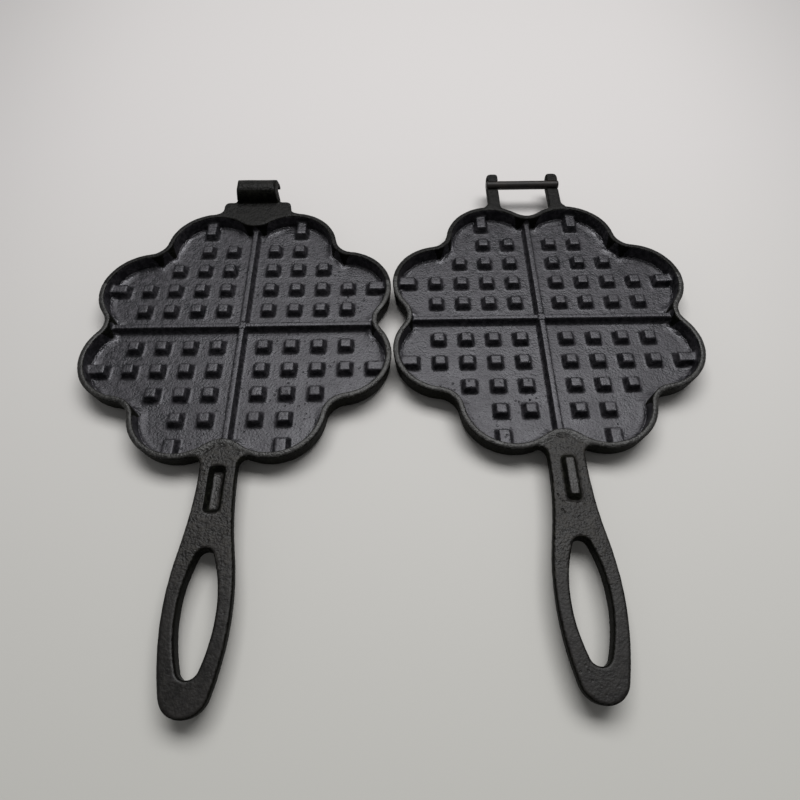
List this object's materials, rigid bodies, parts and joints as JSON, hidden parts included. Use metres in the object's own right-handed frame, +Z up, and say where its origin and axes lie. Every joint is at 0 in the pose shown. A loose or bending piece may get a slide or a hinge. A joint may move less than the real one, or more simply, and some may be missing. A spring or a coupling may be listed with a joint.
{
  "type": "stovetop waffle iron",
  "caption": "Cast-iron stovetop waffle iron with flower-shaped plates, shown with its hooked halves lifted apart and lying open.",
  "frame": {"origin": "on the resting surface below the middle of both halves", "axes": "+X across the pair from the hook half to the fork half, +Y from the handles to the hinge ends, +Z up"},
  "size_m": [0.365, 0.336, 0.026],
  "materials": {
    "seasoned_cast_iron": "sand-cast iron, oil-seasoned black with a soft satin sheen",
    "blackened_steel": "plain round rod, blackened by the same seasoning"
  },
  "bodies": {
    "hook_half": {"hook_half": "seasoned_cast_iron"},
    "hinge_bar": {"hinge_bar": "blackened_steel"},
    "fork_half": {"fork_half": "seasoned_cast_iron"}
  },
  "joints": [
    {"name": "fork_half_placing", "type": "hinge", "parent": "hook_half", "child": "hinge_bar", "pos_m": [0, 0.15733, 0.01535], "axis": [0, 0, 1], "range_deg": [0, 180]},
    {"name": "hinge", "type": "hinge", "parent": "hinge_bar", "child": "fork_half", "pos_m": [0.09143, 0.15896, 0.01535], "axis": [-1, 0, 0], "range_deg": [0, 180]}
  ]
}
